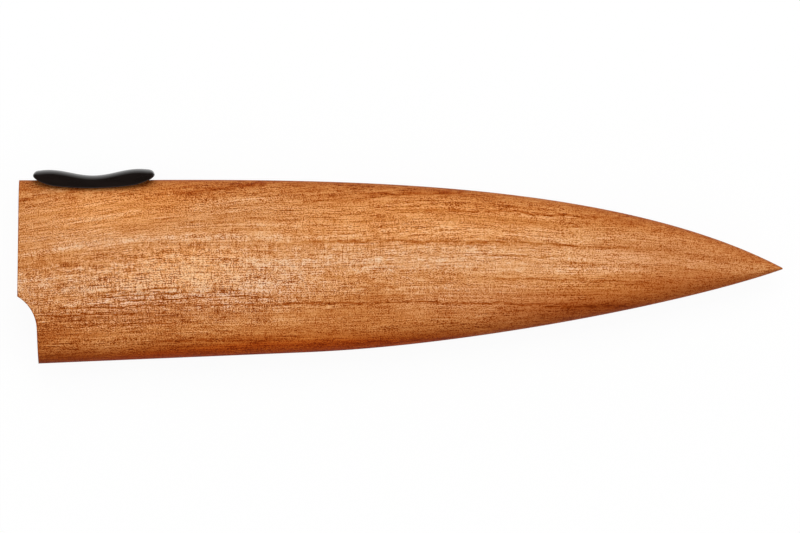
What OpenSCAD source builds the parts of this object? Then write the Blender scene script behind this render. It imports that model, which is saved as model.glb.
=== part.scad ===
// Wooden blade guard for a 200 mm chef's knife, with a rocking lock lever.
// It lies on its broad side: +X runs from the mouth to the tip, +Y to the spine
// and +Z up from the face that it rests on.

/* [Outline] */
// Length from the mouth to the tip
guard_len = 220; // [205:1:240]
// Height at the mouth, from the spine to the belly line
guard_h = 53.1; // [50:0.1:58]
// Angle that the straight part of the belly climbs at
belly_rise = 2.4; // [1.5:0.1:3.5]
// How far the tip lies below the spine line
tip_drop = 25.5; // [22:0.5:30]
// Length of the spine that is straight, from the mouth
spine_straight = 14; // [5:1:40]
// Length of the belly that is straight, from the mouth
belly_straight = 83; // [60:1:95]
// Angle at which the spine falls to the tip
spine_tip_angle = 28; // [22:1:34]
// Angle at which the belly climbs to the tip
belly_tip_angle = 20; // [16:1:24]
// Angle that the mouth leans back from square
mouth_lean = 0.75; // [0:0.25:2]
// Height of the blunt end of the tip
tip_blunt = 0.4; // [0.3:0.1:1]

/* [Wood halves] */
// Thickness of the two halves together
guard_t = 15; // [14:0.5:18]
// Width of the rounding along the spine and the belly
edge_round = 7.5; // [6.5:0.5:9]
// Length over which the faces curve in to the tip
nose_len = 75; // [55:5:95]
// Thickness at the very tip
nose_end_t = 3.2; // [2.5:0.1:5]

/* [Heel relief] */
// Radius of the round relief for the knife's heel
relief_r = 11.2; // [9:0.1:13]
// Height of the relief's centre above the belly
relief_up = 9.9; // [8:0.1:13]
// How far the lower heel is set back from the mouth
heel_step = 5.6; // [4:0.1:7]

/* [Blade space] */
// Width of the space for the blade
space_w = 4.4; // [4.3:0.1:5]
// Width of that space at its far end
space_tip_w = 2.6; // [2:0.1:3.5]
// Length over which the space narrows
space_taper = 75; // [50:5:90]
// Wood above the space, along the spine
spine_wall = 6.2; // [6:0.1:8]
// Wood below the space, along the belly
belly_wall = 2.8; // [2.5:0.1:4]
// Least height of the space at its far end
space_tip_h = 2; // [1.5:0.5:4]

/* [Lock lever] */
// Distance of the pivot from the mouth
pivot_x = 21.8; // [20:0.1:30]
// Length of the lever
lever_len = 34.8; // [32:0.1:38]
// How far the lever's middle lies beyond the pivot, towards the tip
lever_shift = 0.2; // [-0.4:0.1:0.4]
// How far the lever's sides lie inside the faces of the wood
lever_inset = 0.3; // [0.2:0.1:0.5]
// Height of the lever's hollow middle above the spine
lever_rise = 1.3; // [1:0.1:2]
// Height of the two finger rests above the middle
hump_rise = 1.75; // [1:0.05:2.2]
// Distance between the tops of the finger rests
hump_span = 26; // [22:0.5:28]
// How far the cheeks hang below the spine
cheek_drop = 2.35; // [1.8:0.05:2.8]
// Radius of the bow along the cheeks' lower edge
cheek_bow_r = 93; // [80:1:120]
// Thickness of the roof
roof_t = 1.5; // [1.3:0.1:1.7]
// Thickness of the cheeks
cheek_t = 1.1; // [0.9:0.1:1.2]
// Height of the rounding along the lever's top edges
lever_edge_h = 1.35; // [0.8:0.05:1.6]
// Width of that rounding, in from the lever's sides
lever_edge_w = 4.5; // [2:0.1:6]
// Height of the nose's foremost point above the spine
nose_mid = 1.45; // [1.2:0.05:1.6]
// Length of the rounding over each nose
nose_over_len = 1.75; // [1.5:0.05:2.2]
// Length of the rounding under each nose
nose_under_len = 6.4; // [5:0.1:7.5]
// Height of the roof's underside above the spine at the noses
nose_under_y = 1.35; // [1.3:0.05:1.5]
// Tilt of the lever at rest, its inner end up
lever_tilt = 0.65; // [0:0.05:0.8]

/* [Keel and brake] */
// Thickness of the keel that hangs from the roof
keel_w = 4; // [3.4:0.1:4.2]
// Length of the keel towards the mouth, from the pivot
keel_front = 3; // [2.8:0.1:4]
// Length of the keel towards the tip, from the pivot
keel_back = 10; // [9:0.1:11]
// Wall of the keel round the pivot bore
boss_wall = 1.05; // [0.9:0.05:1.2]
// Length of the brake pad
pad_len = 4.2; // [3:0.1:5]
// Distance of the pad from the end of the keel's foot
pad_inset = 0.4; // [0.2:0.1:0.8]
// How far the pad stands into the space for the blade
pad_bite = 0.8; // [0.5:0.1:1.2]
// Gap between the keel's foot and the space
foot_gap = 0.35; // [0.2:0.05:0.6]
// Distance of the stop rib from the pivot
stop_x = 13.2; // [12.6:0.1:14]
// Thickness of the stop rib
stop_t = 1.2; // [1:0.1:1.6]
// Width of the stop rib
stop_w = 4.4; // [3:0.1:5]

/* [Pin and spring] */
// Diameter of the pivot pin
pin_d = 2; // [1.6:0.1:2.2]
// Length of the pivot pin
pin_len = 9.6; // [8:0.1:10]
// Distance of the spring from the pivot
spring_x = 9.5; // [8.5:0.1:10.5]
// Diameter of the spring's wire
wire_d = 0.4; // [0.3:0.05:0.5]
// Diameter of the coil, at the middle of the wire
coil_d = 3; // [2.8:0.1:3.4]
// Number of turns of the coil
coil_turns = 5; // [4:1:6]
// Depth of the spring's pocket below the spine
pocket_drop = 4.2; // [3.6:0.1:4.6]
// Diameter of the stub that centres the spring
stub_d = 2.1; // [1.8:0.1:2.2]
// Length of that stub
stub_len = 0.8; // [0.5:0.1:1.2]
// Width of the flat rim that the spring presses on, round the coil
seat_rim = 0.1; // [0:0.05:0.3]

/* [Fits] */
// Play all round the pin in the wood
pin_seat_gap = 0.02; // [0.01:0.01:0.04]
// Play all round the pin in the lever
pin_run_gap = 0.05; // [0.03:0.01:0.08]
// Play on each side of the keel in its slot
keel_gap = 0.3; // [0.2:0.05:0.4]
// Play at the ends of the keel in its slot
keel_end_gap = 0.5; // [0.4:0.05:0.8]
// Depth of the hollow in the spine under the lever
hollow_depth = 1; // [0.8:0.1:1.4]
// How far the hollow stops inside the lever's ends
hollow_inset = 0.9; // [0.6:0.1:1.5]
// Gap under the stop rib at rest
stop_gap = 0.05; // [0.03:0.01:0.1]
// Gap between the pivot boss and the space for the blade
boss_gap = 0.2; // [0.1:0.05:0.4]
// Play all round the spring in its pocket
pocket_gap = 0.35; // [0.2:0.05:0.6]
// Gap at each end of the spring
spring_end_gap = 0.03; // [0.02:0.01:0.1]

/* [Hidden] */

// Counts that set how fine the curved surfaces are
station_n = 44;
arc_n = 8;
lever_n = 40;
lever_arc_n = 7;
curl_n = 8;
wire_n = 6;
round_fn = 96;
wide_fn = 360;

// Parts of a curve's run that its two ends pull on
spine_pull = [0.283, 0.297];
belly_pull = [0.354, 0.199];

// How far a cut runs past the face that it opens
past = 1;

// How far a part of the lever is sunk into the roof that carries it
root = roof_t / 2;

// Slope length of the keel between its boss and its foot
keel_slope = 0.8;

// Margin by which the plan corners of the lever stay inside its cheeks
corner_margin = 0.5;

// How far the first and last rings of the lever stop short of its noses
nose_flat = 0.02;

// Chamfer on the pin's ends, as a part of its diameter
pin_ease = 0.1;

// Length of the pad's ramp, as a part of its length
pad_ramp = 1 / 3;

half_t = guard_t / 2;
boss_r = pin_d / 2 + boss_wall;
pivot_y = -(spine_wall - boss_r - boss_gap);
bore_run_r = pin_d / 2 + pin_run_gap;
bore_seat_r = pin_d / 2 + pin_seat_gap;

// The edges' curves meet a little past the blunt end
meet = [guard_len + tip_blunt / (tan(spine_tip_angle) + tan(belly_tip_angle)), -tip_drop];

relief_c = [heel_step - relief_r, relief_up - guard_h];
relief_top_y = relief_c[1] + sqrt(relief_r ^ 2 - relief_c[0] ^ 2);

lever_half = lever_len / 2;
lever_side = half_t - lever_inset;
hump_x = hump_span / 2;
nose_x = lever_half - nose_over_len;
under_x = lever_half - nose_under_len;

hollow_half = lever_half - hollow_inset;
hollow_r = (hollow_half ^ 2 + hollow_depth ^ 2) / (2 * hollow_depth);

foot_y = -(spine_wall - foot_gap);
pad_x = keel_back - pad_inset - pad_len;
pad_y = -(spine_wall + pad_bite);
slot_half = keel_w / 2 + keel_gap;
coil_r = (coil_d + wire_d) / 2;
pocket_r = coil_r + pocket_gap;
seat_r = coil_r + seat_rim;
seat_y = lever_under(spring_x - seat_r);
spring_low = -pocket_drop + spring_end_gap + wire_d / 2;
spring_high = seat_y - (spring_x + seat_r) * tan(lever_tilt) - spring_end_gap - wire_d / 2;

// A point on a cubic curve
function bez(p, t) =
    (1 - t) ^ 3 * p[0] + 3 * (1 - t) ^ 2 * t * p[1] + 3 * (1 - t) * t ^ 2 * p[2] + t ^ 3 * p[3];

// Height of a cubic curve at x, found by halving
function bez_y(p, x, lo = 0, hi = 1, n = 20) =
    let (mid = (lo + hi) / 2, q = bez(p, mid))
    n == 0 ? q[1] : q[0] < x ? bez_y(p, x, mid, hi, n - 1) : bez_y(p, x, lo, mid, n - 1);

// The four points of an edge's curve, from its straight end to the tip
function edge_curve(start, a, tip_a, pull) =
    let (run = meet[0] - start[0])
    [
        start,
        start + pull[0] * run * [cos(a), sin(a)],
        meet - pull[1] * run * [cos(tip_a), sin(tip_a)],
        meet
    ];

spine_curve = edge_curve([spine_straight, 0], 0, -spine_tip_angle, spine_pull);
belly_start = [belly_straight, -guard_h + belly_straight * tan(belly_rise)];
belly_curve = edge_curve(belly_start, belly_rise, belly_tip_angle, belly_pull);

function spine_y(x) = x <= spine_straight ? 0 : bez_y(spine_curve, x);
function belly_y(x) = x <= belly_straight ? -guard_h + x * tan(belly_rise) : bez_y(belly_curve, x);

// Half the thickness of the guard at x, which falls off as an ellipse along the nose
function face_z(x) =
    let (s = max(0, (x - guard_len + nose_len) / nose_len))
    half_t * sqrt(1 - (1 - (nose_end_t / guard_t) ^ 2) * s ^ 2);

// Width of the edge rounding at x, which shrinks where the guard gets low
function round_w(x) = edge_round * (1 - exp(-(spine_y(x) - belly_y(x)) / (2 * edge_round)));

// One cross-section of a half, from the belly's edge over the face to the spine's edge
function half_ring(x) =
    let (top = spine_y(x), low = belly_y(x), w = round_w(x), h = face_z(x))
    concat(
        [for (i = [0:arc_n]) let (a = 90 * i / arc_n) [x, low + w * (1 - cos(a)), h * sin(a)]],
        [for (i = [arc_n:-1:0]) let (a = 90 * i / arc_n) [x, top - w * (1 - cos(a)), h * sin(a)]]
    );

// Stations crowd towards the tip, where the form turns fastest
function station_x(i) = -2 * past + (guard_len + 2 * past) * sin(90 * i / station_n);

// Heights of the lever's profile at u from the pivot, before its tilt
function lever_top_at(u) = lever_rise + hump_rise / 2 * (1 - cos(180 * u / hump_x));
function lever_top(u) =
    let (s = max(0, (abs(u) - nose_x) / nose_over_len))
    abs(u) <= nose_x ? lever_top_at(u)
        : nose_mid + (lever_top_at(nose_x) - nose_mid) * sqrt(max(0, 1 - s ^ 2));
function cheek_low_at(u) = -cheek_drop + u ^ 2 / (2 * cheek_bow_r);
function lever_low(u) =
    let (s = max(0, (abs(u) - under_x) / nose_under_len))
    nose_mid - (nose_mid - cheek_low_at(u)) * sqrt(max(0, 1 - s ^ 2));
function lever_under(u) = lever_top_at(u) - roof_t;

// Half the lever's width at u, eased at the corners that it has from above
function lever_side_at(u) =
    let (r = cheek_t - corner_margin, s = max(0, (abs(u) - lever_half + r) / r))
    lever_side - r * (1 - sqrt(max(0, 1 - s ^ 2)));

// One cross-section of the lever's outside
function lever_ring(u) =
    let (
        top = lever_top(u),
        low = lever_low(u),
        w = lever_side_at(u),
        h = min(lever_edge_h, 0.45 * (top - low)),
        side = [
            for (i = [0:lever_arc_n])
            let (a = 90 * i / lever_arc_n)
            [w - lever_edge_w * (1 - cos(a)), top - h * (1 - sin(a))]
        ]
    )
    concat(
        [[u, low, w]],
        [for (p = side) [u, p[1], p[0]]],
        [for (i = [lever_arc_n:-1:0]) [u, side[i][1], -side[i][0]]],
        [[u, low, -w]]
    );

// Stations crowd towards both noses and stop just short of their ends
function lever_station(i) = (lever_half - nose_flat) * sin(-90 + 180 * i / lever_n);

// One ring of the spring's wire, on a helix about Y
function wire_ring(i) =
    let (
        a = 360 * i / curl_n,
        y = spring_low + (spring_high - spring_low) * i / (curl_n * coil_turns),
        c = [coil_d / 2 * cos(a), y, coil_d / 2 * sin(a)]
    )
    [for (j = [0:wire_n - 1]) let (b = 360 * j / wire_n)
        c + wire_d / 2 * [cos(a) * cos(b), -sin(b), sin(a) * cos(b)]];

// A closed solid through rings that all have the same number of points
module loft(rings) {
    n = len(rings[0]);
    last = len(rings) - 1;
    sides = [
        for (i = [0:last - 1])
        for (j = [0:n - 1])
        let (a = i * n + j, b = i * n + (j + 1) % n)
        each [[a, b, b + n], [a, b + n, a + n]]
    ];
    caps = [[for (j = [n - 1:-1:0]) j], [for (j = [0:n - 1]) last * n + j]];
    polyhedron(points = [for (r = rings) each r], faces = concat(sides, caps), convexity = 6);
}

// Moves what is drawn about the mouth, the spine and the joint line to the part's place
module in_place() {
    translate([-guard_len / 2, guard_h / 2, half_t]) children();
}

// Moves what is drawn about the pivot to its place and tilt in the guard
module at_pivot() {
    translate([pivot_x, pivot_y, 0]) rotate([0, 0, lever_tilt]) translate([0, -pivot_y, 0]) children();
}

// The space for the blade in one half: its outline cut to a depth that tapers to the tip
module blade_space() {
    taper_x = guard_len - space_taper;
    least_h = spine_wall + belly_wall + space_tip_h;
    xs = [for (i = [0:station_n]) let (x = station_x(i)) if (spine_y(x) - belly_y(x) > least_h) x];
    intersection() {
        linear_extrude(space_w / 2) polygon(concat(
            [for (x = xs) [x, spine_y(x) - spine_wall]],
            [for (i = [len(xs) - 1:-1:0]) [xs[i], belly_y(xs[i]) + belly_wall]]
        ));
        translate([0, past, 0]) rotate([90, 0, 0]) linear_extrude(guard_h + 2 * past) polygon([
            [-3 * past, -past],
            [-3 * past, space_w / 2],
            [taper_x, space_w / 2],
            [guard_len, space_tip_w / 2],
            [guard_len, -past]
        ]);
    }
}

// What the heel of the knife and its handle need clear: the leaning mouth, a round and a set-back
module heel_cut() {
    far = guard_h + guard_t;
    translate([0, relief_top_y, 0]) rotate([0, 0, -mouth_lean]) translate([-far, -far, -past])
        cube([far, 2 * far, guard_t]);
    translate([relief_c[0], relief_c[1], -past]) rotate([0, 0, belly_rise]) linear_extrude(guard_t) {
        intersection() {
            circle(r = relief_r, $fn = round_fn);
            translate([-relief_r, 0]) square([2 * relief_r, relief_r]);
        }
        translate([-relief_r, -far]) square([2 * relief_r, far]);
    }
}

// What the lever and its works need clear in one half
module lever_cut() {
    translate([pivot_x, hollow_r - hollow_depth, -past]) cylinder(h = guard_t, r = hollow_r, $fn = wide_fn);
    translate([pivot_x - keel_front - keel_end_gap, -spine_wall - past, -past])
        cube([keel_front + keel_back + 2 * keel_end_gap, spine_wall + 2 * past, slot_half + past]);
    translate([pivot_x, pivot_y, -past])
        cylinder(h = past + pin_len / 2 + pin_run_gap, r = bore_seat_r, $fn = round_fn);
    translate([pivot_x - spring_x, -pocket_drop, 0]) rotate([-90, 0, 0])
        cylinder(h = pocket_drop + past, r = pocket_r, $fn = round_fn);
}

module wood_half() {
    difference() {
        loft([for (i = [0:station_n]) half_ring(station_x(i))]);
        blade_space();
        heel_cut();
        lever_cut();
    }
}

module front_half() {
    color("#CF8A52") in_place() wood_half();
}

module back_half() {
    color("#C17F49") in_place() mirror([0, 0, 1]) wood_half();
}

// The keel's outline: it hangs from the roof, goes round the pivot and ends in the foot
module keel_outline() {
    steps = 12;
    difference() {
        union() {
            translate([0, pivot_y]) circle(r = boss_r, $fn = round_fn);
            polygon(concat(
                [[-boss_r, pivot_y], [boss_r, pivot_y], [boss_r + keel_slope, foot_y], [keel_back, foot_y]],
                [for (i = [steps:-1:0]) let (u = -keel_front + (keel_front + keel_back) * i / steps)
                    [u, lever_under(u) + root]]
            ));
        }
        translate([0, pivot_y]) circle(r = bore_run_r, $fn = round_fn);
    }
}

// The room under the roof, open at both noses
module lever_room() {
    inner = lever_side - cheek_t;
    steps = 26;
    translate([0, 0, -inner]) linear_extrude(2 * inner) polygon(concat(
        [[-lever_len, -lever_len], [-lever_len, nose_under_y]],
        [for (i = [0:steps]) let (u = -hump_x + hump_span * i / steps) [u, lever_under(u)]],
        [[lever_len, nose_under_y], [lever_len, -lever_len]]
    ));
}

module lock_lever() {
    stop_low = hollow_r - hollow_depth - sqrt(hollow_r ^ 2 - (stop_x + stop_t / 2) ^ 2) + stop_gap;
    color("#1B1A19") in_place() {
        at_pivot() {
            translate([lever_shift, 0, 0]) difference() {
                loft([for (i = [0:lever_n]) lever_ring(lever_station(i))]);
                lever_room();
            }
            translate([0, 0, -keel_w / 2]) linear_extrude(keel_w) keel_outline();
            translate([-spring_x, seat_y, 0]) rotate([-90, 0, 0]) {
                cylinder(h = lever_under(spring_x) - seat_y + root, r = seat_r, $fn = round_fn);
                translate([0, 0, -stub_len]) cylinder(h = stub_len + root, d = stub_d, $fn = round_fn);
            }
        }
        translate([pivot_x + stop_x - stop_t / 2, stop_low, -stop_w / 2])
            cube([stop_t, lever_under(stop_x) + root - stop_low, stop_w]);
    }
}

module pivot_pin() {
    ease = pin_d * pin_ease;
    color("#B9BBBD") in_place() translate([pivot_x, pivot_y, 0])
    rotate_extrude($fn = round_fn) polygon([
        [0, -pin_len / 2],
        [pin_d / 2 - ease, -pin_len / 2],
        [pin_d / 2, -pin_len / 2 + ease],
        [pin_d / 2, pin_len / 2 - ease],
        [pin_d / 2 - ease, pin_len / 2],
        [0, pin_len / 2]
    ]);
}

// A rubber block under the keel's foot, with a ramp on the side that the blade comes from
module brake_pad() {
    ramp = pad_len * pad_ramp;
    color("#3A3836") in_place() at_pivot() translate([pad_x, 0, -keel_w / 2])
    linear_extrude(keel_w) polygon([
        [0, foot_y],
        [pad_len, foot_y],
        [pad_len, pad_y],
        [ramp, pad_y],
        [0, pad_y + pad_bite / 2]
    ]);
}

module return_spring() {
    color("#8E9092") in_place() translate([pivot_x - spring_x, 0, 0])
        loft([for (i = [0:curl_n * coil_turns]) wire_ring(i)]);
}

front_half();
back_half();
lock_lever();
pivot_pin();
brake_pad();
return_spring();
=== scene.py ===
import bmesh
import bpy
import math
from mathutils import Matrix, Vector


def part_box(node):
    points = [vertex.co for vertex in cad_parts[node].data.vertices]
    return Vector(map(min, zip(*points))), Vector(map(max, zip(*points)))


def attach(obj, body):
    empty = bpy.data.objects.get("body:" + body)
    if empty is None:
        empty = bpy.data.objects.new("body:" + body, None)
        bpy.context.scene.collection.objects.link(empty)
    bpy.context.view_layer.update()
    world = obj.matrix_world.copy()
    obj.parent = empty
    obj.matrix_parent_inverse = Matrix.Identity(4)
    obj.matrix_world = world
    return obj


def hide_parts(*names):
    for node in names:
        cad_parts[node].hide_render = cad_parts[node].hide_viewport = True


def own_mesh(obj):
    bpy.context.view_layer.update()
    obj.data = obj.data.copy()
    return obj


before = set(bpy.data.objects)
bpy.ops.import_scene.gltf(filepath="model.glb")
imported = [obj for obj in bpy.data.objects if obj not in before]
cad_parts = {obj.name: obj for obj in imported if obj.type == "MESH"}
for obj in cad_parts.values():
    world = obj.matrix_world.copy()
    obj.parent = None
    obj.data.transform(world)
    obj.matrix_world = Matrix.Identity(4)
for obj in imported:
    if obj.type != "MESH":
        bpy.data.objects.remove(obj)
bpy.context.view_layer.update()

# Wooden halves: two mirrored boards of oiled cherry that make a guard for a 200 mm chef's
# knife. Each is routed inside for the blade and the lock, and they are glued along the
# middle, rounded over to half round edges, and thinned towards the tip on a belt sander.

# The form, in millimetres from the mouth, the spine and the joint between the halves
MM = 0.001
front_low, front_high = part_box("front_half")
GUARD_LEN = (front_high[0] - front_low[0]) / MM
HALF_T = (front_high[2] - front_low[2]) / MM
GUARD_H = 53.1
BELLY_RISE = math.radians(2.4)
SPINE_STRAIGHT = 14.0
BELLY_STRAIGHT = 83.0
TIP_DROP = 25.5
SPINE_TIP_ANGLE = math.radians(28)
BELLY_TIP_ANGLE = math.radians(20)
SPINE_PULL = (0.283, 0.297)
BELLY_PULL = (0.354, 0.199)
TIP_BLUNT = 0.4
EDGE_ROUND = 7.5
THINNED_LEN = 75.0
TIP_T = 3.2


def place(x, y, z):
    """A point in millimetres from the mouth, the spine and the joint, in the frame's metres."""
    return Vector((front_low[0] + x * MM, front_high[1] + y * MM, front_low[2] + z * MM))


def edge_curve(start, angle, tip_angle, pull):
    """The four points of an edge's long curve, from the end of its straight run to the tip."""
    blunt = TIP_BLUNT / (math.tan(SPINE_TIP_ANGLE) + math.tan(BELLY_TIP_ANGLE))
    tip = (GUARD_LEN + blunt, -TIP_DROP)
    first, last = pull[0] * (tip[0] - start[0]), pull[1] * (tip[0] - start[0])
    second = (start[0] + first * math.cos(angle), start[1] + first * math.sin(angle))
    third = (tip[0] - last * math.cos(tip_angle), tip[1] - last * math.sin(tip_angle))
    return start, second, third, tip


SPINE_CURVE = edge_curve((SPINE_STRAIGHT, 0.0), 0.0, -SPINE_TIP_ANGLE, SPINE_PULL)
BELLY_START = (BELLY_STRAIGHT, BELLY_STRAIGHT * math.tan(BELLY_RISE) - GUARD_H)
BELLY_CURVE = edge_curve(BELLY_START, BELLY_RISE, BELLY_TIP_ANGLE, BELLY_PULL)


def curve_y(points, x, halvings=24):
    """Height of a cubic curve at x, found by halving."""
    low, high = 0.0, 1.0
    for _ in range(halvings):
        t = (low + high) / 2
        parts = ((1 - t) ** 3, 3 * (1 - t) ** 2 * t, 3 * (1 - t) * t ** 2, t ** 3)
        if sum(k * p[0] for k, p in zip(parts, points)) < x:
            low = t
        else:
            high = t
    return sum(k * p[1] for k, p in zip(parts, points))


def spine_y(x):
    return 0.0 if x <= SPINE_STRAIGHT else curve_y(SPINE_CURVE, x)


def belly_y(x):
    if x <= BELLY_STRAIGHT:
        return x * math.tan(BELLY_RISE) - GUARD_H
    return curve_y(BELLY_CURVE, x)


def face_z(x):
    """Half the guard's thickness at x: level, then an ellipse along the thinned part."""
    s = max(0.0, (x - GUARD_LEN + THINNED_LEN) / THINNED_LEN)
    return HALF_T * math.sqrt(1 - (1 - (TIP_T / (2 * HALF_T)) ** 2) * s ** 2)


def round_w(x):
    """How far in the rounded edge reaches at x: less where the guard is narrow."""
    return EDGE_ROUND * (1 - math.exp(-(spine_y(x) - belly_y(x)) / (2 * EDGE_ROUND)))


# What is routed inside: a bed for the blade that narrows to its point, a slot for the
# lever's keel, a pocket for its spring, a blind hole for its pin and a hollow under it. The
# hollow is a shallow arc, in sides so short that none shows, and OVERCUT is how far the
# cutters reach past the wood
SPINE_WALL = 6.2
BELLY_WALL = 2.8
BED_W = 4.4
BED_TIP_W = 2.6
BED_TAPER = 75.0
BED_TIP_H = 2.0
BED_FROM, BED_STEP = -3.0, 2.0
PIVOT_X = 21.8
PIN_R = 1.0
BOSS_WALL = 1.05
BOSS_GAP = 0.2
PIVOT_Y = -(SPINE_WALL - PIN_R - BOSS_WALL - BOSS_GAP)
PIN_HOLE_DEPTH = 4.85
PIN_HOLE_FIT = 0.02
HOLLOW_HALF = 16.5
HOLLOW_DEPTH = 1.0
HOLLOW_R = (HOLLOW_HALF ** 2 + HOLLOW_DEPTH ** 2) / (2 * HOLLOW_DEPTH)
HOLLOW_SIDES = 720
SLOT_FROM, SLOT_TO, SLOT_HALF = -3.5, 10.5, 2.3
SPRING_X = 9.5
POCKET_R = 2.05
POCKET_DEPTH = 4.2
OVERCUT = 1.0

# What is sawn after gluing: the leaning mouth and the round relief for the knife's heel
MOUTH_LEAN = math.radians(0.75)
RELIEF_R = 11.2
RELIEF_X = 5.6 - RELIEF_R
RELIEF_Y = 9.9 - GUARD_H
RELIEF_TOP = RELIEF_Y + math.sqrt(RELIEF_R ** 2 - RELIEF_X ** 2)


def mouth_x(y):
    """Where the mouth's edge lies at a height: leaning, then round the relief, then set back."""
    if y >= RELIEF_TOP:
        return (y - RELIEF_TOP) * math.tan(MOUTH_LEAN)
    end_y = RELIEF_Y + RELIEF_R * math.sin(BELLY_RISE)
    if y >= end_y:
        return RELIEF_X + math.sqrt(RELIEF_R ** 2 - (y - RELIEF_Y) ** 2)
    return RELIEF_X + RELIEF_R * math.cos(BELLY_RISE) + (end_y - y) * math.tan(BELLY_RISE)


def mesh_object(name, bm):
    """An object from a bmesh, with its faces turned outward."""
    bmesh.ops.recalc_face_normals(bm, faces=bm.faces)
    mesh = bpy.data.meshes.new(name)
    bm.to_mesh(mesh)
    bm.free()
    piece = bpy.data.objects.new(name, mesh)
    bpy.context.scene.collection.objects.link(piece)
    return piece


def lofted(name, rings):
    """A closed solid through rings of points in millimetres."""
    bm = bmesh.new()
    verts = [[bm.verts.new(place(*p)) for p in ring] for ring in rings]
    for near, far in zip(verts, verts[1:]):
        for j in range(len(near)):
            k = (j + 1) % len(near)
            bm.faces.new((near[j], near[k], far[k], far[j]))
    bm.faces.new(verts[0])
    bm.faces.new(verts[-1])
    return mesh_object(name, bm)


def block(name, low, high):
    corners = [(low[1], low[2]), (high[1], low[2]), (high[1], high[2]), (low[1], high[2])]
    return lofted(name, [[(x, y, z) for y, z in corners] for x in (low[0], high[0])])


def rod(name, centre, radius, axis, start, end, sides=64):
    """A round solid about a line along y or z through a centre."""
    turns = [math.tau * i / sides for i in range(sides)]
    spread = [(radius * math.cos(a), radius * math.sin(a)) for a in turns]
    if axis == "y":
        return lofted(name, [[(centre[0] + a, y, b) for a, b in spread] for y in (start, end)])
    return lofted(name, [[(centre[0] + a, centre[1] + b, z) for a, b in spread]
                         for z in (start, end)])


def blade_bed(side):
    """The bed for the blade in one half, with its floor rising towards the tip."""
    rings = []
    x = BED_FROM
    past = -side * OVERCUT
    while spine_y(x) - belly_y(x) > SPINE_WALL + BELLY_WALL + BED_TIP_H:
        s = max(0.0, (x - GUARD_LEN + BED_TAPER) / BED_TAPER)
        depth = side * (BED_W + s * (BED_TIP_W - BED_W)) / 2
        top, low = spine_y(x) - SPINE_WALL, belly_y(x) + BELLY_WALL
        rings.append([(x, top, past), (x, top, depth), (x, low, depth), (x, low, past)])
        x += BED_STEP
    return lofted("bed", rings)


def joined(piece, tools, how="DIFFERENCE"):
    """Cuts the tools out of a piece, or adds them to it, and removes them."""
    for tool in tools:
        step = piece.modifiers.new("step", "BOOLEAN")
        step.operation = how
        step.solver = "EXACT"
        step.object = tool
    seen = piece.evaluated_get(bpy.context.evaluated_depsgraph_get())
    done = bpy.data.meshes.new_from_object(seen)
    piece.modifiers.clear()
    piece.data = done
    for tool in tools:
        bpy.data.objects.remove(tool)


def smooth(piece, sharp_above=32):
    """Shades a piece smooth, but for its edges that turn more than so many degrees."""
    for face in piece.data.polygons:
        face.use_smooth = True
    piece.data.set_sharp_from_angle(angle=math.radians(sharp_above))


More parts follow.
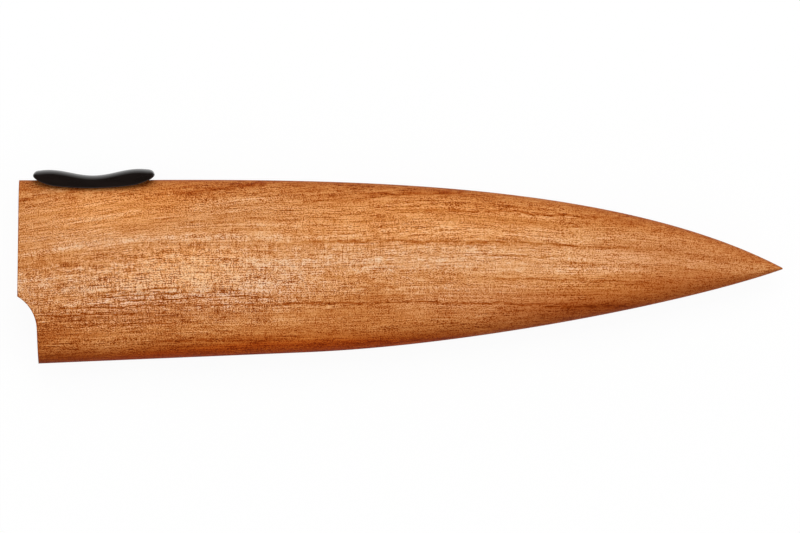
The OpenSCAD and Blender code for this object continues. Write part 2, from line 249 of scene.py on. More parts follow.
def wood_half(name, side):
    """One half: side is 1 for the front half, above the joint, and -1 for the back half."""
    seam, rim_round, below_relief = 0.06, 0.45, 1.0
    columns, arc_steps, relief_steps, row_h, mouth_tries = 150, 12, 14, 1.6, 8
    flat, flat_low = -round_w(0), belly_y(0) + round_w(0)
    land_rows = []
    y = flat - row_h
    while y > RELIEF_TOP + row_h / 2:
        land_rows.append(y)
        y -= row_h
    arc_span = math.acos(-RELIEF_X / RELIEF_R)
    land_rows += [RELIEF_Y + RELIEF_R * math.sin(arc_span * (1 - i / relief_steps))
                  for i in range(relief_steps + 1)]
    land_rows += [RELIEF_Y - below_relief]
    parts = [(flat - y) / (flat - flat_low) for y in land_rows]

    def row_point(row, x):
        """Height and thickness at x of a row along the spine's round, the face or the belly's."""
        top, low, w, h = spine_y(x), belly_y(x), round_w(x), face_z(x)
        kind, value = row
        if kind == "land":
            return top - w + value * (low + w - (top - w)), h
        bow = w * (1 - math.cos(value))
        return (top - bow if kind == "spine" else low + bow), h * math.sin(value)

    angles = [math.pi / 2 * i / arc_steps for i in range(arc_steps + 1)]
    rows = [("spine", a) for a in angles] + [("land", p) for p in parts]
    rows += [("belly", a) for a in reversed(angles)]
    bm = bmesh.new()
    grid = []
    for row in rows:
        start = 0.0
        for _ in range(mouth_tries):
            start = mouth_x(row_point(row, start)[0])
        line = []
        for i in range(columns + 1):
            x = start + (GUARD_LEN - start) * math.sin(math.pi / 2 * i / columns)
            y, z = row_point(row, x)
            if row[1] == 0.0:
                y += -seam if row[0] == "spine" else seam
            line.append(bm.verts.new(place(x, y, side * z)))
        grid.append(line)
    for upper, lower in zip(grid, grid[1:]):
        for i in range(columns):
            bm.faces.new((upper[i], upper[i + 1], lower[i + 1], lower[i]))
    joint_z = place(0, 0, 0).z
    inner = [bm.verts.new((line[0].co.x, line[0].co.y, joint_z)) for line in grid[1:-1]]
    foot = [grid[0][0]] + inner + [grid[-1][0]]
    for j in range(len(grid) - 1):
        corner = [grid[j][0], grid[j + 1][0], foot[j + 1], foot[j]]
        bm.faces.new(list(dict.fromkeys(corner)))
    bm.faces.new([line[-1] for line in grid])
    bm.faces.new(grid[0] + list(reversed(grid[-1])) + list(reversed(inner)))
    bmesh.ops.recalc_face_normals(bm, faces=bm.faces)
    rim = [bm.edges.get((grid[j][0], grid[j + 1][0])) for j in range(len(grid) - 1)]
    bmesh.ops.bevel(bm, geom=rim, offset=rim_round * MM, segments=3, profile=0.5, affect="EDGES")
    piece = mesh_object(name, bm)
    past, far = -side * OVERCUT, side * 2 * HALF_T
    joined(piece, [
        blade_bed(side),
        block("slot", (PIVOT_X + SLOT_FROM, -SPINE_WALL - OVERCUT, past),
              (PIVOT_X + SLOT_TO, OVERCUT, side * SLOT_HALF)),
        rod("hole", (PIVOT_X, PIVOT_Y), PIN_R + PIN_HOLE_FIT, "z", past, side * PIN_HOLE_DEPTH),
        rod("pocket", (PIVOT_X - SPRING_X, 0), POCKET_R, "y", -POCKET_DEPTH, OVERCUT),
        rod("hollow", (PIVOT_X, HOLLOW_R - HOLLOW_DEPTH), HOLLOW_R, "z", -far, far, HOLLOW_SIDES),
    ])
    smooth(piece)
    return piece


# The finish: cherry, or a fruitwood like it, sanded fine and rubbed with oil. The eye sees an
# orange brown board, palest along its middle, with thin dark growth lines, short pores like pen
# strokes and a faint cross figure like the weave of cloth, and almost no gloss. The pale middle is
# partly the wood's colour and partly painted sheen, and the rounded edges are darkened with painted
# shade.


def linear(code):
    """An sRGB hex colour as linear red, green, blue and alpha."""
    parts = [int(code[i:i + 2], 16) / 255 for i in (1, 3, 5)]
    return [p / 12.92 if p <= 0.04045 else ((p + 0.055) / 1.055) ** 2.4 for p in parts] + [1.0]


def add(tree, kind, inputs=(), out=0, stops=(), **settings):
    """Adds a node, fills its inputs, in order or by name, with values or with other nodes'
    outputs, and gives its own output. stops are a colour ramp's positions and colours. A
    MapRange takes a value, the range that it comes from and the range that it goes to."""
    node = tree.nodes.new("ShaderNode" + kind)
    for key, value in settings.items():
        setattr(node, key, value)
    for key, value in inputs.items() if isinstance(inputs, dict) else enumerate(inputs):
        if isinstance(value, bpy.types.NodeSocket):
            tree.links.new(value, node.inputs[key])
        else:
            node.inputs[key].default_value = value
    for _ in stops[2:]:
        node.color_ramp.elements.new(0.5)
    for i, (position, colour) in enumerate(stops):
        node.color_ramp.elements[i].position = position
        node.color_ramp.elements[i].color = colour
    return node.outputs[out] if node.outputs else node


def total(tree, *pairs):
    """The sum of the products of pairs."""
    result = 0.0
    for value, weight in pairs:
        result = add(tree, "Math", [value, weight, result], operation="MULTIPLY_ADD")
    return result


def window(tree, value, start, full, fade, end):
    """Rises from 0 at start to 1 at full, and falls from 1 at fade to 0 at end."""
    rise = add(tree, "MapRange", [value, start, full, 0.0, 1.0], interpolation_type="SMOOTHSTEP")
    fall = add(tree, "MapRange", [value, fade, end, 1.0, 0.0], interpolation_type="SMOOTHSTEP")
    return total(tree, (rise, fall))


def grain(tree, point, size, seed, detail=2.0, rough=0.55):
    """Noise about 0, with marks about as long, high and deep as size, in millimetres."""
    scaled = add(tree, "VectorMath", [point, [1 / s for s in size]], operation="MULTIPLY")
    noise = add(tree, "TexNoise", {
        "Vector": scaled, "W": seed, "Scale": 1.0, "Detail": detail, "Roughness": rough,
    }, noise_dimensions="4D")
    return add(tree, "Math", [noise, 0.5], operation="SUBTRACT")


def patch(tree, spot, centre, half, amount):
    """A soft oval on the board, of an amount that fades from its core to 0 at its edge."""
    core, edge = 0.25, 1.0
    shift = [-centre[0] / half[0], -centre[1] / half[1], 0]
    moved = add(tree, "VectorMath", [spot, [1 / half[0], 1 / half[1], 0], shift],
                operation="MULTIPLY_ADD")
    far = add(tree, "VectorMath", [moved], out="Value", operation="LENGTH")
    return add(tree, "MapRange", [far, core, edge, amount, 0.0], interpolation_type="SMOOTHSTEP")


def new_material(name):
    """A material with an empty tree, and the points of its piece in millimetres."""
    material = bpy.data.materials.new(name)
    material.use_nodes = True
    tree = material.node_tree
    tree.nodes.clear()
    spot = add(tree, "TexCoord", out="Object")
    return material, tree, add(tree, "VectorMath", {0: spot, "Scale": 1 / MM}, operation="SCALE")


def oiled_cherry(name, seed, face, growth_lines, flecks, patches, painted_sheen_and_stains):
    """The wood of one half, whose face is at a height above the frame's floor. growth_lines are
    (height, from, to, half width, depth), in millimetres. flecks, short and dark, patches, lighter
    or darker, and the tints for painted sheen and stains, pinker for the sheen and yellower for the
    stains, are (centre, half size, amount)."""
    material, tree, point = new_material(name)
    x, y, z = [add(tree, "SeparateXYZ", [point], out=axis) for axis in "XYZ"]
    normal = add(tree, "TexCoord", out="Normal")
    toward_x, toward_z = [add(tree, "Math", [add(tree, "SeparateXYZ", [normal], out=axis)],
                              operation="ABSOLUTE") for axis in "XZ"]

    # The grain bows along the length, more towards the spine, and leans through the thickness
    slope, tone_bow, fibre_bow, spine_bow, wave_h = 0.25, 0.00063, 0.00045, 0.000018, 6.0
    x_squared = total(tree, (x, x))
    lean = total(tree, (z, slope), (face, -slope))
    height = total(tree, (y, 1.0), (x_squared, tone_bow), (lean, 1.0))
    bend = total(tree, (y, spine_bow), (fibre_bow, 1.0))
    fibre = total(tree, (y, 1.0), (x_squared, bend), (lean, 1.0))
    wave = grain(tree, point, (60, 30, 30), seed, 1.0)
    along = add(tree, "CombineXYZ", [x, total(tree, (fibre, 1.0), (wave, wave_h)), z])
    board_spot = add(tree, "CombineXYZ", [x, height])

    # Tone, from 0 for the darkest growth line to 1 for the palest painted sheen: first across the
    # board, at heights in millimetres up to reach above and below its middle. Across the board it
    # is palest in the middle, partly the wood's colour and partly painted sheen, and darkest at the
    # belly's rounding, partly the wood's colour and partly painted shade
    reach = 28
    board = [(-24, 0.35), (-19, 0.475), (-15, 0.575), (-10, 0.587), (-6.5, 0.635), (-3, 0.69),
             (1, 0.735), (6, 0.74), (9, 0.69), (12, 0.705), (16, 0.672), (19, 0.65), (26, 0.62)]
    ring = total(tree, (height, 1.0), (wave, wave_h))
    ring = add(tree, "MapRange", [ring, -reach, reach, 0.0, 1.0])
    across = add(tree, "ValToRGB", [ring], stops=[
        ((at + reach) / (2 * reach), [level, level, level, 1]) for at, level in board])

    # Then bands and streaks along the grain, calmer towards the tip, blotches, most of them in
    # the middle near the mouth, a darker tip, and the board's own light and dark places
    middle = total(tree, (window(tree, x, -125, -104, -30, 60),
                          window(tree, height, -16, -6, 8, 18)))
    calm = add(tree, "MapRange", [x, 15, 75, 1.0, 0.7])
    bands = grain(tree, along, (70, 4.5, 9), seed + 1)
    blotches = grain(tree, point, (2.4, 1.4, 1.4), seed + 2)
    streaks = total(tree, (grain(tree, along, (40, 1.3, 2.0), seed + 3, 3.0, 0.6), calm))
    streak_depth = add(tree, "MapRange", [middle, 0, 1, 0.3, 0.2])
    blotch_depth = add(tree, "MapRange", [middle, 0, 1, 0.1, 0.36])
    tip_shade = add(tree, "MapRange", [x, 45, 108, 0.0, -0.08])
    tone = total(
        tree,
        (across, 1.0),
        (bands, 0.22),
        (streaks, streak_depth),
        (blotches, blotch_depth),
        (tip_shade, 1.0),
        *[(patch(tree, board_spot, *each), 1.0) for each in patches],
    )

    # Fibres, pores and the cross figure. A real pore is about 0.1 mm wide, and is drawn three
    # times as wide, as coarse as a photograph of the whole guard shows it
    crowd = grain(tree, along, (22, 2.4, 4), seed + 4)
    dense = patch(tree, board_spot, (-78, -4), (78, 18), 0.75)
    contrast = total(tree, (calm, total(tree, (crowd, 1.6), (dense, 1.0), (1.0, 1.0))))
    weave = grain(tree, point, (0.6, 3.0, 3.0), seed + 5, 1.0)
    fibres = grain(tree, along, (9.0, 0.3, 0.5), seed + 6, 3.0, 0.6)
    strokes = grain(tree, along, (1.4, 0.32, 0.5), seed + 7)
    specks = grain(tree, point, (0.34, 0.3, 0.3), seed + 8, 1.0)
    weave_depth = add(tree, "MapRange", [middle, 0, 1, 0.16, 0.5])
    fine = total(tree, (fibres, 1.2), (strokes, 0.5), (specks, 1.4), (weave, weave_depth))
    fine = total(tree, (fine, contrast))
    pale, dark = total(tree, (fine, 0.32)), total(tree, (fine, 1.7))
    pores = add(tree, "Math", [pale, dark], operation="MINIMUM")

    # Growth lines, wavy and broken up as ink is on rough paper, and a crowd of short flecks
    wander_h, ripple_h, fade_share = 2.0, 1.6, 0.3
    wander = grain(tree, point, (16, 30, 30), seed + 9)
    ripple = grain(tree, point, (6, 6, 6), seed + 11, 1.0)
    line_height = total(tree, (fibre, 1.0), (wander, wander_h), (ripple, ripple_h))
    lines = 0.0
    for at, start, end, half, depth in growth_lines:
        off = add(tree, "Math", [total(tree, (line_height, 1.0), (at, -1.0))], operation="ABSOLUTE")
        line = add(tree, "MapRange", [off, 0.0, half, depth, 0.0], interpolation_type="SMOOTHSTEP")
        fade = fade_share * (end - start)
        line = total(tree, (line, window(tree, x, start, start + fade, end - fade, end)))
        lines = add(tree, "Math", [lines, line], operation="MAXIMUM")
    ragged = grain(tree, along, (2.8, 0.5, 1.0), seed + 10, 3.0, 0.7)
    ragged = add(tree, "MapRange", [ragged, -0.1, 0.06, 0.0, -1.15])
    wavy = add(tree, "CombineXYZ", [x, line_height, z])
    dashes = grain(tree, wavy, (3.0, 0.3, 0.8), seed + 12, 2.0)
    dashes = add(tree, "MapRange", [dashes, 0.06, 0.17, 0.0, -1.0])

    # Oil goes deepest into the end grain and the glue line. The round edges get painted shade,
    # darker as they turn away from the face
    from_joint = add(tree, "Math", [total(tree, (z, 1.0), (HALF_T, -1.0))], operation="ABSOLUTE")
    painted_edge_shade = add(tree, "MapRange", [toward_z, 0.0, 1.0, -0.17, 0.0])
    end_oil = add(tree, "MapRange", [toward_x, 0.6, 0.95, 0.0, -0.16])
    glue_oil = add(tree, "MapRange", [from_joint, 0.04, 0.16, -0.25, 0.0])
    tone = total(
        tree,
        (tone, 1.0),
        (pores, 1.0),
        (lines, ragged),
        *[(patch(tree, board_spot, *each), dashes) for each in flecks],
        (painted_edge_shade, 1.0),
        (end_oil, 1.0),
        (glue_oil, 1.0),
    )

    # The colour of each tone, tinted yellower below 0.5 and pinker above it, where sheen is painted
    shades = [(0.0, "#6A2400"), (0.225, "#8F3A06"), (0.35, "#A14B15"), (0.52, "#B96A30"),
              (0.595, "#C57A3F"), (0.645, "#CD8649"), (0.728, "#DD9C62"), (0.8, "#EBB27F"),
              (0.8775, "#EFCCAA")]
    shade = add(tree, "ValToRGB", [tone], stops=[(at, linear(code)) for at, code in shades])
    pinker = total(tree, (0.5, 1.0), *[(patch(tree, board_spot, *each), 1.0) for each in painted_sheen_and_stains])
    tint = add(tree, "ValToRGB", [pinker], stops=[
        (0.0, [1.2, 0.95, 0.55, 1]),
        (0.12, [1.1, 0.972, 0.7, 1]),
        (0.5, [1.0, 1.0, 1.0, 1]),
        (1.0, [0.97, 1.0, 1.32, 1]),
    ])
    colour = add(tree, "Mix", {0: 1.0, 6: shade, 7: tint}, out=2, data_type="RGBA",
                 blend_type="MULTIPLY")

    bump = add(tree, "Bump", {"Height": pores, "Strength": 0.4, "Distance": 0.00008})
    surface = add(tree, "BsdfPrincipled", {
        "Base Color": colour,
        "Roughness": add(tree, "MapRange", [pores, -0.2, 0.2, 0.58, 0.46]),
        "IOR": 1.45,
        "Specular IOR Level": 0.04,
        "Normal": bump,
    })
    add(tree, "OutputMaterial", [surface])
    return material


# The back half, which the guard lies on, is cut beside the front one: its lines are its own
back_half = wood_half("back_half_wood", -1)
back_half.data.materials.append(oiled_cherry(
    "oiled_cherry_back", 21.0, 0.0,
    growth_lines=[
        (17, -70, 60, 0.7, 0.16),
        (9, -100, 10, 0.5, 0.14),
        (-3, -20, 95, 0.6, 0.15),
        (-14, -90, 40, 0.8, 0.16),
    ],
    flecks=[((30, 8), (44, 6), 0.3)],
    patches=[((-60, -8), (50, 12), 0.05), ((70, -8), (50, 14), -0.08)],
    # The pinker tint is painted sheen, the yellower one a stain
    painted_sheen_and_stains=[((-50, -6), (60, 10), 0.4), ((40, 16), (60, 10), -0.3)],
))
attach(back_half, "guard")
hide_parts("back_half")

# The front half shows dark growth lines under the spine and above the belly, the pale middle
# between them, partly painted sheen, and fewer, finer lines towards the tip
front_half = wood_half("front_half_wood", 1)
front_half.data.materials.append(oiled_cherry(
    "oiled_cherry_front", 3.0, 2 * HALF_T,
    growth_lines=[
        (26, -76, -22, 0.9, 0.25),
        (22.2, -14, 22, 0.7, 0.22),
        (18, -5, 74, 0.5, 0.25),
        (9.2, -50, 84, 0.6, 0.27),
        (5.3, 15, 50, 0.45, 0.22),
        (-1.2, 22, 80, 0.45, 0.25),
        (-2.9, -90, -56, 0.32, 0.36),
        (-4.7, -98, -40, 0.34, 0.45),
        (-6.3, -90, -30, 0.32, 0.42),
        (-8.0, -104, -52, 0.32, 0.42),
        (-10.2, -106, -70, 0.34, 0.4),
        (-8.6, -78, 64, 0.55, 0.35),
        (-9.4, 36, 76, 1.0, 0.26),
        (-13.5, -102, -50, 0.7, 0.22),
        (-19.2, -78, -32, 0.9, 0.25),
        (-20.5, -30, 40, 1.0, 0.17),
    ],
    flecks=[((-78, -6.5), (44, 7), 0.42)],
    patches=[
        ((-98, 21), (34, 12), 0.06),
        ((-72, 31), (46, 7), 0.05),
        ((-80, 16), (32, 8), 0.055),
        ((-45, 16), (36, 9), 0.06),
        ((-68, -1), (26, 7), 0.08),
        ((-40, -8), (32, 9), 0.1),
        ((0, 5.5), (50, 5), 0.06),
        ((-50, 6), (40, 6), 0.03),
        ((8, -9), (24, 7), 0.05),
        ((-72, -5), (36, 6), 0.04),
        ((-84, -14), (32, 7), 0.08),
        ((-54, -17), (18, 5), 0.05),
        ((-36, 0.5), (20, 6), 0.05),
        ((-100, -17), (18, 16), -0.08),
        ((57, -12), (37, 12), -0.15),
        ((62, -3), (26, 7), -0.03),
        ((46, 7), (34, 5), 0.035),
        ((88, 0), (34, 9), -0.14),
    ],
    # The pinker tints are painted sheen, the yellower ones stains
    painted_sheen_and_stains=[
        ((-80, 23), (34, 9), -0.22),
        ((5, 15), (62, 10), -0.2),
        ((-62, 3), (30, 10), -0.2),
        ((-66, -7), (56, 7), 0.17),
        ((32, -9), (46, 8), 0.25),
        ((-30, -29), (120, 14), -1.25),
        ((82, 7), (38, 12), 0.2),
    ],
))
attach(front_half, "guard")
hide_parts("front_half")

# Lock lever: a rocker moulded in black nylon, astride the spine. It has two raised finger
# rests with a dip between them, thin cheeks that hang over the rounded wood, and under its
# roof a seat for the spring, a stop, and a keel that goes down to the pin and the brake.
LEVER_HALF = 17.4
LEVER_SHIFT = 0.2
LEVER_SIDE = HALF_T - 0.3
LEVER_RISE = 1.3
HUMP_RISE = 1.75
HUMP_X = 13.0
CHEEK_DROP = 2.35
CHEEK_BOW_R = 93.0
ROOF_T = 1.5
CHEEK_T = 1.1
LEVER_EDGE_H = 1.35
LEVER_EDGE_W = 4.5
NOSE_MID = 1.45
NOSE_OVER_LEN = 1.75
NOSE_UNDER_LEN = 6.4
NOSE_UNDER_Y = 1.35
LEVER_TILT = math.radians(0.65)
LEVER_STEPS, NOSE_CUT = 140, 0.02

# What is under its roof, along the spine from the pivot. The stub stands nearer the pivot
# than the coil's middle, so that it stays clear of the coil when the lever tilts
KEEL_FROM, KEEL_TO, KEEL_HALF = -3.0, 10.0, 2.0
BOSS_R = PIN_R + BOSS_WALL
BOSS_TO = 1.3
FOOT_FROM = BOSS_R + 0.8
FOOT_GAP = 0.35
FOOT_Y = -(SPINE_WALL - FOOT_GAP)
BORE_FIT, BORE_REACH = 0.05, 5.0
SEAT_R = 1.8
STUB_R, STUB_LEN, STUB_SHIFT = 1.05, 0.8, 0.14
STOP_X, STOP_T, STOP_HALF, STOP_FIT = 13.2, 1.2, 2.2, 0.05


def lever_top_at(u):
    return LEVER_RISE + HUMP_RISE / 2 * (1 - math.cos(math.pi * u / HUMP_X))


def lever_under(u):
    return lever_top_at(u) - ROOF_T


def rounded_end(u, length):
    """Falls from 1 to 0 as a quarter ellipse over the last length of the lever."""
    s = max(0.0, (abs(u) - LEVER_HALF + length) / length)
    return math.sqrt(max(0.0, 1 - s ** 2))


def lever_top(u):
    top = lever_top_at(min(abs(u), LEVER_HALF - NOSE_OVER_LEN))
    return NOSE_MID + (top - NOSE_MID) * rounded_end(u, NOSE_OVER_LEN)


def lever_low(u):
    bow = u ** 2 / (2 * CHEEK_BOW_R) - CHEEK_DROP
    return NOSE_MID - (NOSE_MID - bow) * rounded_end(u, NOSE_UNDER_LEN)


def tilted(u, y, z):
    """A point of the lever, drawn about the pivot's place along the spine, at its rest tilt."""
    dy = y - PIVOT_Y
    return (PIVOT_X + u * math.cos(LEVER_TILT) - dy * math.sin(LEVER_TILT),
            PIVOT_Y + u * math.sin(LEVER_TILT) + dy * math.cos(LEVER_TILT), z)


def lever_ring(u):
    """The lever's outline across the guard at u: square at the foot of the cheeks, and
    rounded over to the crown."""
    end_cheek_t, foot_r, foot_share, edge_share = 0.5, 0.3, 0.2, 0.45
    low_steps, top_steps = 4, 14
    top, low = lever_top(u), lever_low(u)
    corner = CHEEK_T - end_cheek_t
    w = LEVER_SIDE - corner * (1 - rounded_end(u, corner))
    h_top = min(LEVER_EDGE_H, edge_share * (top - low))
    r_low = min(foot_r, foot_share * (top - low))
    one_side = [(low + r_low * (1 - math.cos(a)), w - r_low * (1 - math.sin(a)))
                for a in [math.pi / 2 * i / low_steps for i in range(low_steps + 1)]]
    one_side += [(top - h_top * (1 - math.sin(a)), w - LEVER_EDGE_W * (1 - math.cos(a)))
                 for a in [math.pi / 2 * i / top_steps for i in range(top_steps + 1)]]
    one_side.append((top, (w - LEVER_EDGE_W) / 2))
    other_side = [(y, -z) for y, z in reversed(one_side)]
    return [tilted(u + LEVER_SHIFT, y, z) for y, z in one_side + other_side]


def prism(name, outline, half):
    """An outline about the pivot, drawn out to both sides of the joint."""
    return lofted(name, [[tilted(u, y, z) for u, y in outline] for z in (-half, half)])


def lever_room():
    """What is hollowed out between the cheeks, under a roof that follows the top. It is open
    far past the lever's ends and its foot."""
    far, roof_half = 40, 20
    roof = [(u + LEVER_SHIFT, lever_under(u))
            for u in [HUMP_X * (i / roof_half - 1) for i in range(2 * roof_half + 1)]]
    outline = [(-far, -far), (-far, NOSE_UNDER_Y), *roof, (far, NOSE_UNDER_Y), (far, -far)]
    return prism("room", outline, LEVER_SIDE - CHEEK_T)


def keel():
    """The blade under the roof: round under its bore, then level along the brake's foot."""
    arc_steps, roof_steps = 24, 16
    arc = [math.pi + math.pi * i / arc_steps for i in range(arc_steps + 1)]
    boss = [(BOSS_R * math.cos(a), PIVOT_Y + BOSS_R * math.sin(a)) for a in arc]
    boss = [p for p in boss if p[0] <= BOSS_TO]
    along = [KEEL_TO + (KEEL_FROM - KEEL_TO) * i / roof_steps for i in range(roof_steps + 1)]
    roof = [(u, lever_under(u) + ROOF_T / 2) for u in along]
    return prism("keel", boss + [(FOOT_FROM, FOOT_Y), (KEEL_TO, FOOT_Y)] + roof, KEEL_HALF)


def spring_post(name, u, radius, low, high, sides=48):
    """A round post under the roof, where the spring presses."""
    turns = [math.tau * i / sides for i in range(sides)]
    return lofted(name, [[tilted(u + radius * math.cos(a), y, radius * math.sin(a))
                          for a in turns] for y in (low, high)])


SEAT_Y = lever_under(SPRING_X - SEAT_R)
STOP_Y = (HOLLOW_R - HOLLOW_DEPTH - math.sqrt(HOLLOW_R ** 2 - (STOP_X + STOP_T / 2) ** 2)
          + STOP_FIT)
stations = [math.sin(math.pi * (i / LEVER_STEPS - 0.5)) * (LEVER_HALF - NOSE_CUT)
            for i in range(LEVER_STEPS + 1)]
lever = lofted("lock_lever_moulding", [lever_ring(u) for u in stations])
joined(lever, [lever_room()])
joined(lever, [
    keel(),
    spring_post("seat", -SPRING_X, SEAT_R, SEAT_Y, lever_under(SPRING_X) + ROOF_T / 2),
    spring_post("stub", STUB_SHIFT - SPRING_X, STUB_R, SEAT_Y - STUB_LEN, SEAT_Y + ROOF_T / 2),
    block("stop", (PIVOT_X + STOP_X - STOP_T / 2, STOP_Y, -STOP_HALF),
          (PIVOT_X + STOP_X + STOP_T / 2, lever_under(STOP_X) + ROOF_T / 2, STOP_HALF)),
], "UNION")
joined(lever, [
    rod("bore", (PIVOT_X, PIVOT_Y), PIN_R + BORE_FIT, "z", -BORE_REACH, BORE_REACH),
])
smooth(lever, sharp_above=40)

# Moulded nylon: near black, with a half gloss that is dulled in places by fingers. The mould
# was spark eroded to a grain of about 0.1 mm, drawn three times as coarse so that it shows
nylon, tree, point = new_material("moulded_black_nylon")
rubbed = grain(tree, point, (6.0, 2.0, 3.0), 6.0, 3.0)
surface = add(tree, "BsdfPrincipled", {
    "Base Color": add(tree, "ValToRGB", [add(tree, "MapRange", [rubbed, -0.2, 0.2, 0.0, 1.0])],
                      stops=[(0.0, linear("#110A07")), (1.0, linear("#160D0A"))]),
    "Roughness": add(tree, "MapRange", [rubbed, -0.2, 0.2, 0.26, 0.34]),
    "IOR": 1.5,
    "Normal": add(tree, "Bump", {"Height": grain(tree, point, (0.3, 0.3, 0.3), 5.0),
                                 "Strength": 0.3, "Distance": 0.00003}),
})
add(tree, "OutputMaterial", [surface])
lever.data.materials.append(nylon)
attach(lever, "lever")
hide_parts("lock_lever")

# Brake pad: a block of black rubber, cut from sheet and bonded under the keel's foot, where
# it presses on the knife's spine. The CAD piece stays and gets the rubber's finish.

# Cut rubber: dull, dark grey, and dusty from about 0.5 mm crumbs left by the knife
rubber, tree, point = new_material("cut_black_rubber")
dust = grain(tree, point, (0.5, 0.5, 0.5), 9.0, 4.0)
surface = add(tree, "BsdfPrincipled", {
    "Base Color": add(tree, "ValToRGB", [add(tree, "MapRange", [dust, -0.2, 0.2, 0.0, 1.0])],
                      stops=[(0.0, linear("#262423")), (1.0, linear("#35322F"))]),
    "Roughness": 0.85,
    "Normal": add(tree, "Bump", {"Height": dust, "Strength": 0.5, "Distance": 0.00005}),
})
add(tree, "OutputMaterial", [surface])
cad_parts["brake_pad"].data.materials.clear()
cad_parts["brake_pad"].data.materials.append(rubber)

# Pivot pin: a 2 mm steel rod, ground round and set in blind holes in both halves, on which
# the lever rocks. The CAD piece stays and gets the steel's finish.


def bare_steel(name, code, marks, seed, rough):
    """Bare steel: a grey metal with clear highlights, drawn out by fine marks of a size."""
    material, tree, point = new_material(name)
    scratch = grain(tree, point, marks, seed, 3.0)
    surface = add(tree, "BsdfPrincipled", {
        "Base Color": linear(code),
        "Metallic": 1.0,
        "Roughness": add(tree, "MapRange", [scratch, -0.2, 0.2, rough - 0.06, rough + 0.06]),
        "Normal": add(tree, "Bump", {"Height": scratch, "Strength": 0.2, "Distance": 0.00002}),
    })
    add(tree, "OutputMaterial", [surface])
    return material


# The grinding wheel's marks run round the pin, about 0.05 mm wide
ground_steel = bare_steel("ground_steel", "#B8B9BA", (1.5, 1.5, 0.05), 12.0, 0.28)
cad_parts["pivot_pin"].data.materials.clear()
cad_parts["pivot_pin"].data.materials.append(ground_steel)

# Return spring: five turns of drawn spring steel wire, coiled cold, with closed ends ground
# flat. It stands in a pocket under the lever's end on the mouth's side, and presses the
# brake down.
WIRE_R = 0.2
COIL_R = 1.5
COIL_TURNS = 5
CLOSED_PITCH = 0.42
END_GAP = 0.03
COIL_LOW = END_GAP - POCKET_DEPTH
COIL_HIGH = SEAT_Y - (SPRING_X + SEAT_R) * math.tan(LEVER_TILT) - END_GAP
GROUND_SHARE = 0.6
TURN_STEPS, WIRE_SIDES = 36, 12


def wire_ring(turn):
    """The wire's outline where it has gone so many turns up the coil. The grinding leaves a
    part of the wire's radius at each end."""
    left = GROUND_SHARE * WIRE_R
    low, high = COIL_LOW + WIRE_R, COIL_HIGH - WIRE_R
    pitch = (high - low - 2 * CLOSED_PITCH) / (COIL_TURNS - 2)
    rise = CLOSED_PITCH * (min(turn, 1) + max(0, turn - COIL_TURNS + 1))
    rise += pitch * min(max(0, turn - 1), COIL_TURNS - 2)
    ring = []
    for b in [math.tau * i / WIRE_SIDES for i in range(WIRE_SIDES)]:
        r = COIL_R + WIRE_R * math.cos(b)
        y = min(max(low + rise + WIRE_R * math.sin(b), low - left), high + left)
        ring.append((PIVOT_X - SPRING_X + r * math.cos(math.tau * turn), y,
                     r * math.sin(math.tau * turn)))
    return ring


coil = lofted("return_spring_coil",
              [wire_ring(i / TURN_STEPS) for i in range(TURN_STEPS * COIL_TURNS + 1)])
smooth(coil, sharp_above=50)

# The die's marks run along the wire, about 0.1 mm wide
coil.data.materials.append(
    bare_steel("drawn_spring_steel", "#8C8D8F", (0.4, 0.1, 0.4), 12.0, 0.34))
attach(coil, "guard")
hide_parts("return_spring")
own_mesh(coil)

# Floor: a pale sheet of paper that the guard lies on. The camera and reflections see it
# white, and it keeps the guard's soft shadow. It throws a plain light grey back on the guard.
FLOOR_HALF = 3.0
SHADOW_SHARE = 0.06
bm = bmesh.new()
bmesh.ops.create_grid(bm, x_segments=1, y_segments=1, size=FLOOR_HALF)
floor = mesh_object("floor", bm)
paper, tree, _ = new_material("white_paper")
seen = add(tree, "LightPath", out="Is Camera Ray")
for ray in ("Is Glossy Ray", "Is Transmission Ray"):
    seen = add(tree, "Math", [seen, add(tree, "LightPath", out=ray)], operation="MAXIMUM")
sheet = add(tree, "BsdfDiffuse", [linear("#A8A8A8")])
glow = add(tree, "Emission", [linear("#FFFFFF"), 1.0])
shadow = add(tree, "BsdfDiffuse", [linear("#FFFFFF")])
white = add(tree, "MixShader", [SHADOW_SHARE, glow, shadow])
add(tree, "OutputMaterial", [add(tree, "MixShader", [seen, sheet, white])])
floor.data.materials.append(paper)

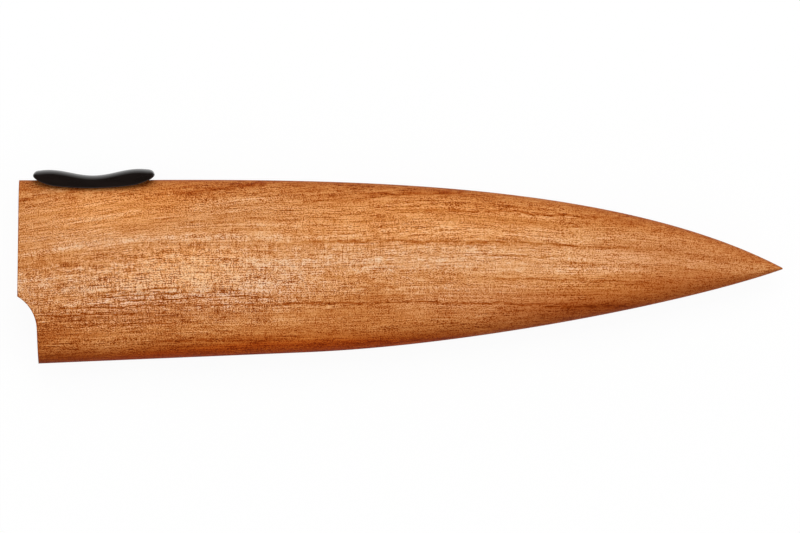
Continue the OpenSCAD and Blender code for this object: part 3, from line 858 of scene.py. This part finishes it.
# Light: a pale room, dim overhead and bright all round, so that the flat faces mirror the
# dark and the rounded edges the light. Three large soft lamps stand round the guard, one
# towards the spine, so that the belly's rounding falls into shade, and one at each end.
OVERHEAD, WALL_TOP, DIM = 0.95, 0.3, 0.06
LAMP_FAR, LAMP_SIZE = 1.2, 0.7
world = bpy.data.worlds.new("room")
world.use_nodes = True
bpy.context.scene.world = world
tree = world.node_tree
tree.nodes.clear()
seen = add(tree, "Math", [add(tree, "LightPath", out=ray)
                          for ray in ("Is Camera Ray", "Is Transmission Ray")], operation="MAXIMUM")
up = add(tree, "SeparateXYZ", [add(tree, "TexCoord", out="Generated")], out="Z")
up = add(tree, "Math", [up], operation="ABSOLUTE")
walls = add(tree, "MapRange", [up, OVERHEAD, WALL_TOP, DIM, 1.0], interpolation_type="SMOOTHSTEP")
fill = add(tree, "Background", [linear("#FFFFFF"), walls])
white = add(tree, "Background", [linear("#FFFFFF"), 1.0])
add(tree, "OutputWorld", [add(tree, "MixShader", [seen, fill, white])])

for name, way, lean, power in (
    ("spine_lamp", (0, 1), 33, 6.0),
    ("mouth_lamp", (-1, 0), 45, 2.6),
    ("tip_lamp", (1, 0), 45, 2.6),
):
    lamp = bpy.data.lights.new(name, "AREA")
    lamp.shape = "SQUARE"
    lamp.size = LAMP_SIZE
    lamp.energy = power
    aside = LAMP_FAR * math.sin(math.radians(lean))
    spot = Vector((way[0] * aside, way[1] * aside, LAMP_FAR * math.cos(math.radians(lean))))
    lamp_object = bpy.data.objects.new(name, lamp)
    lamp_object.location = spot
    lamp_object.rotation_euler = spot.to_track_quat("Z", "Y").to_euler()
    lamp_object.visible_glossy = False
    bpy.context.scene.collection.objects.link(lamp_object)

# Camera: straight above the guard, far off with a long lens, as for a catalogue. The picture
# is as wide as VIEW_W, in metres, at the height of the guard's face.
VIEW_W = 0.23008
VIEW_CENTRE = (-0.00002, 0.00179)
camera = bpy.data.cameras.new("camera")
camera.lens = 1000
camera.sensor_width = 36
camera.clip_end = 20
camera_far = camera.lens * VIEW_W / camera.sensor_width
camera_object = bpy.data.objects.new("camera", camera)
camera_object.location = (VIEW_CENTRE[0], VIEW_CENTRE[1], HALF_T * MM + camera_far)
bpy.context.scene.collection.objects.link(camera_object)
bpy.context.scene.camera = camera_object
bpy.context.scene.view_settings.view_transform = "Standard"
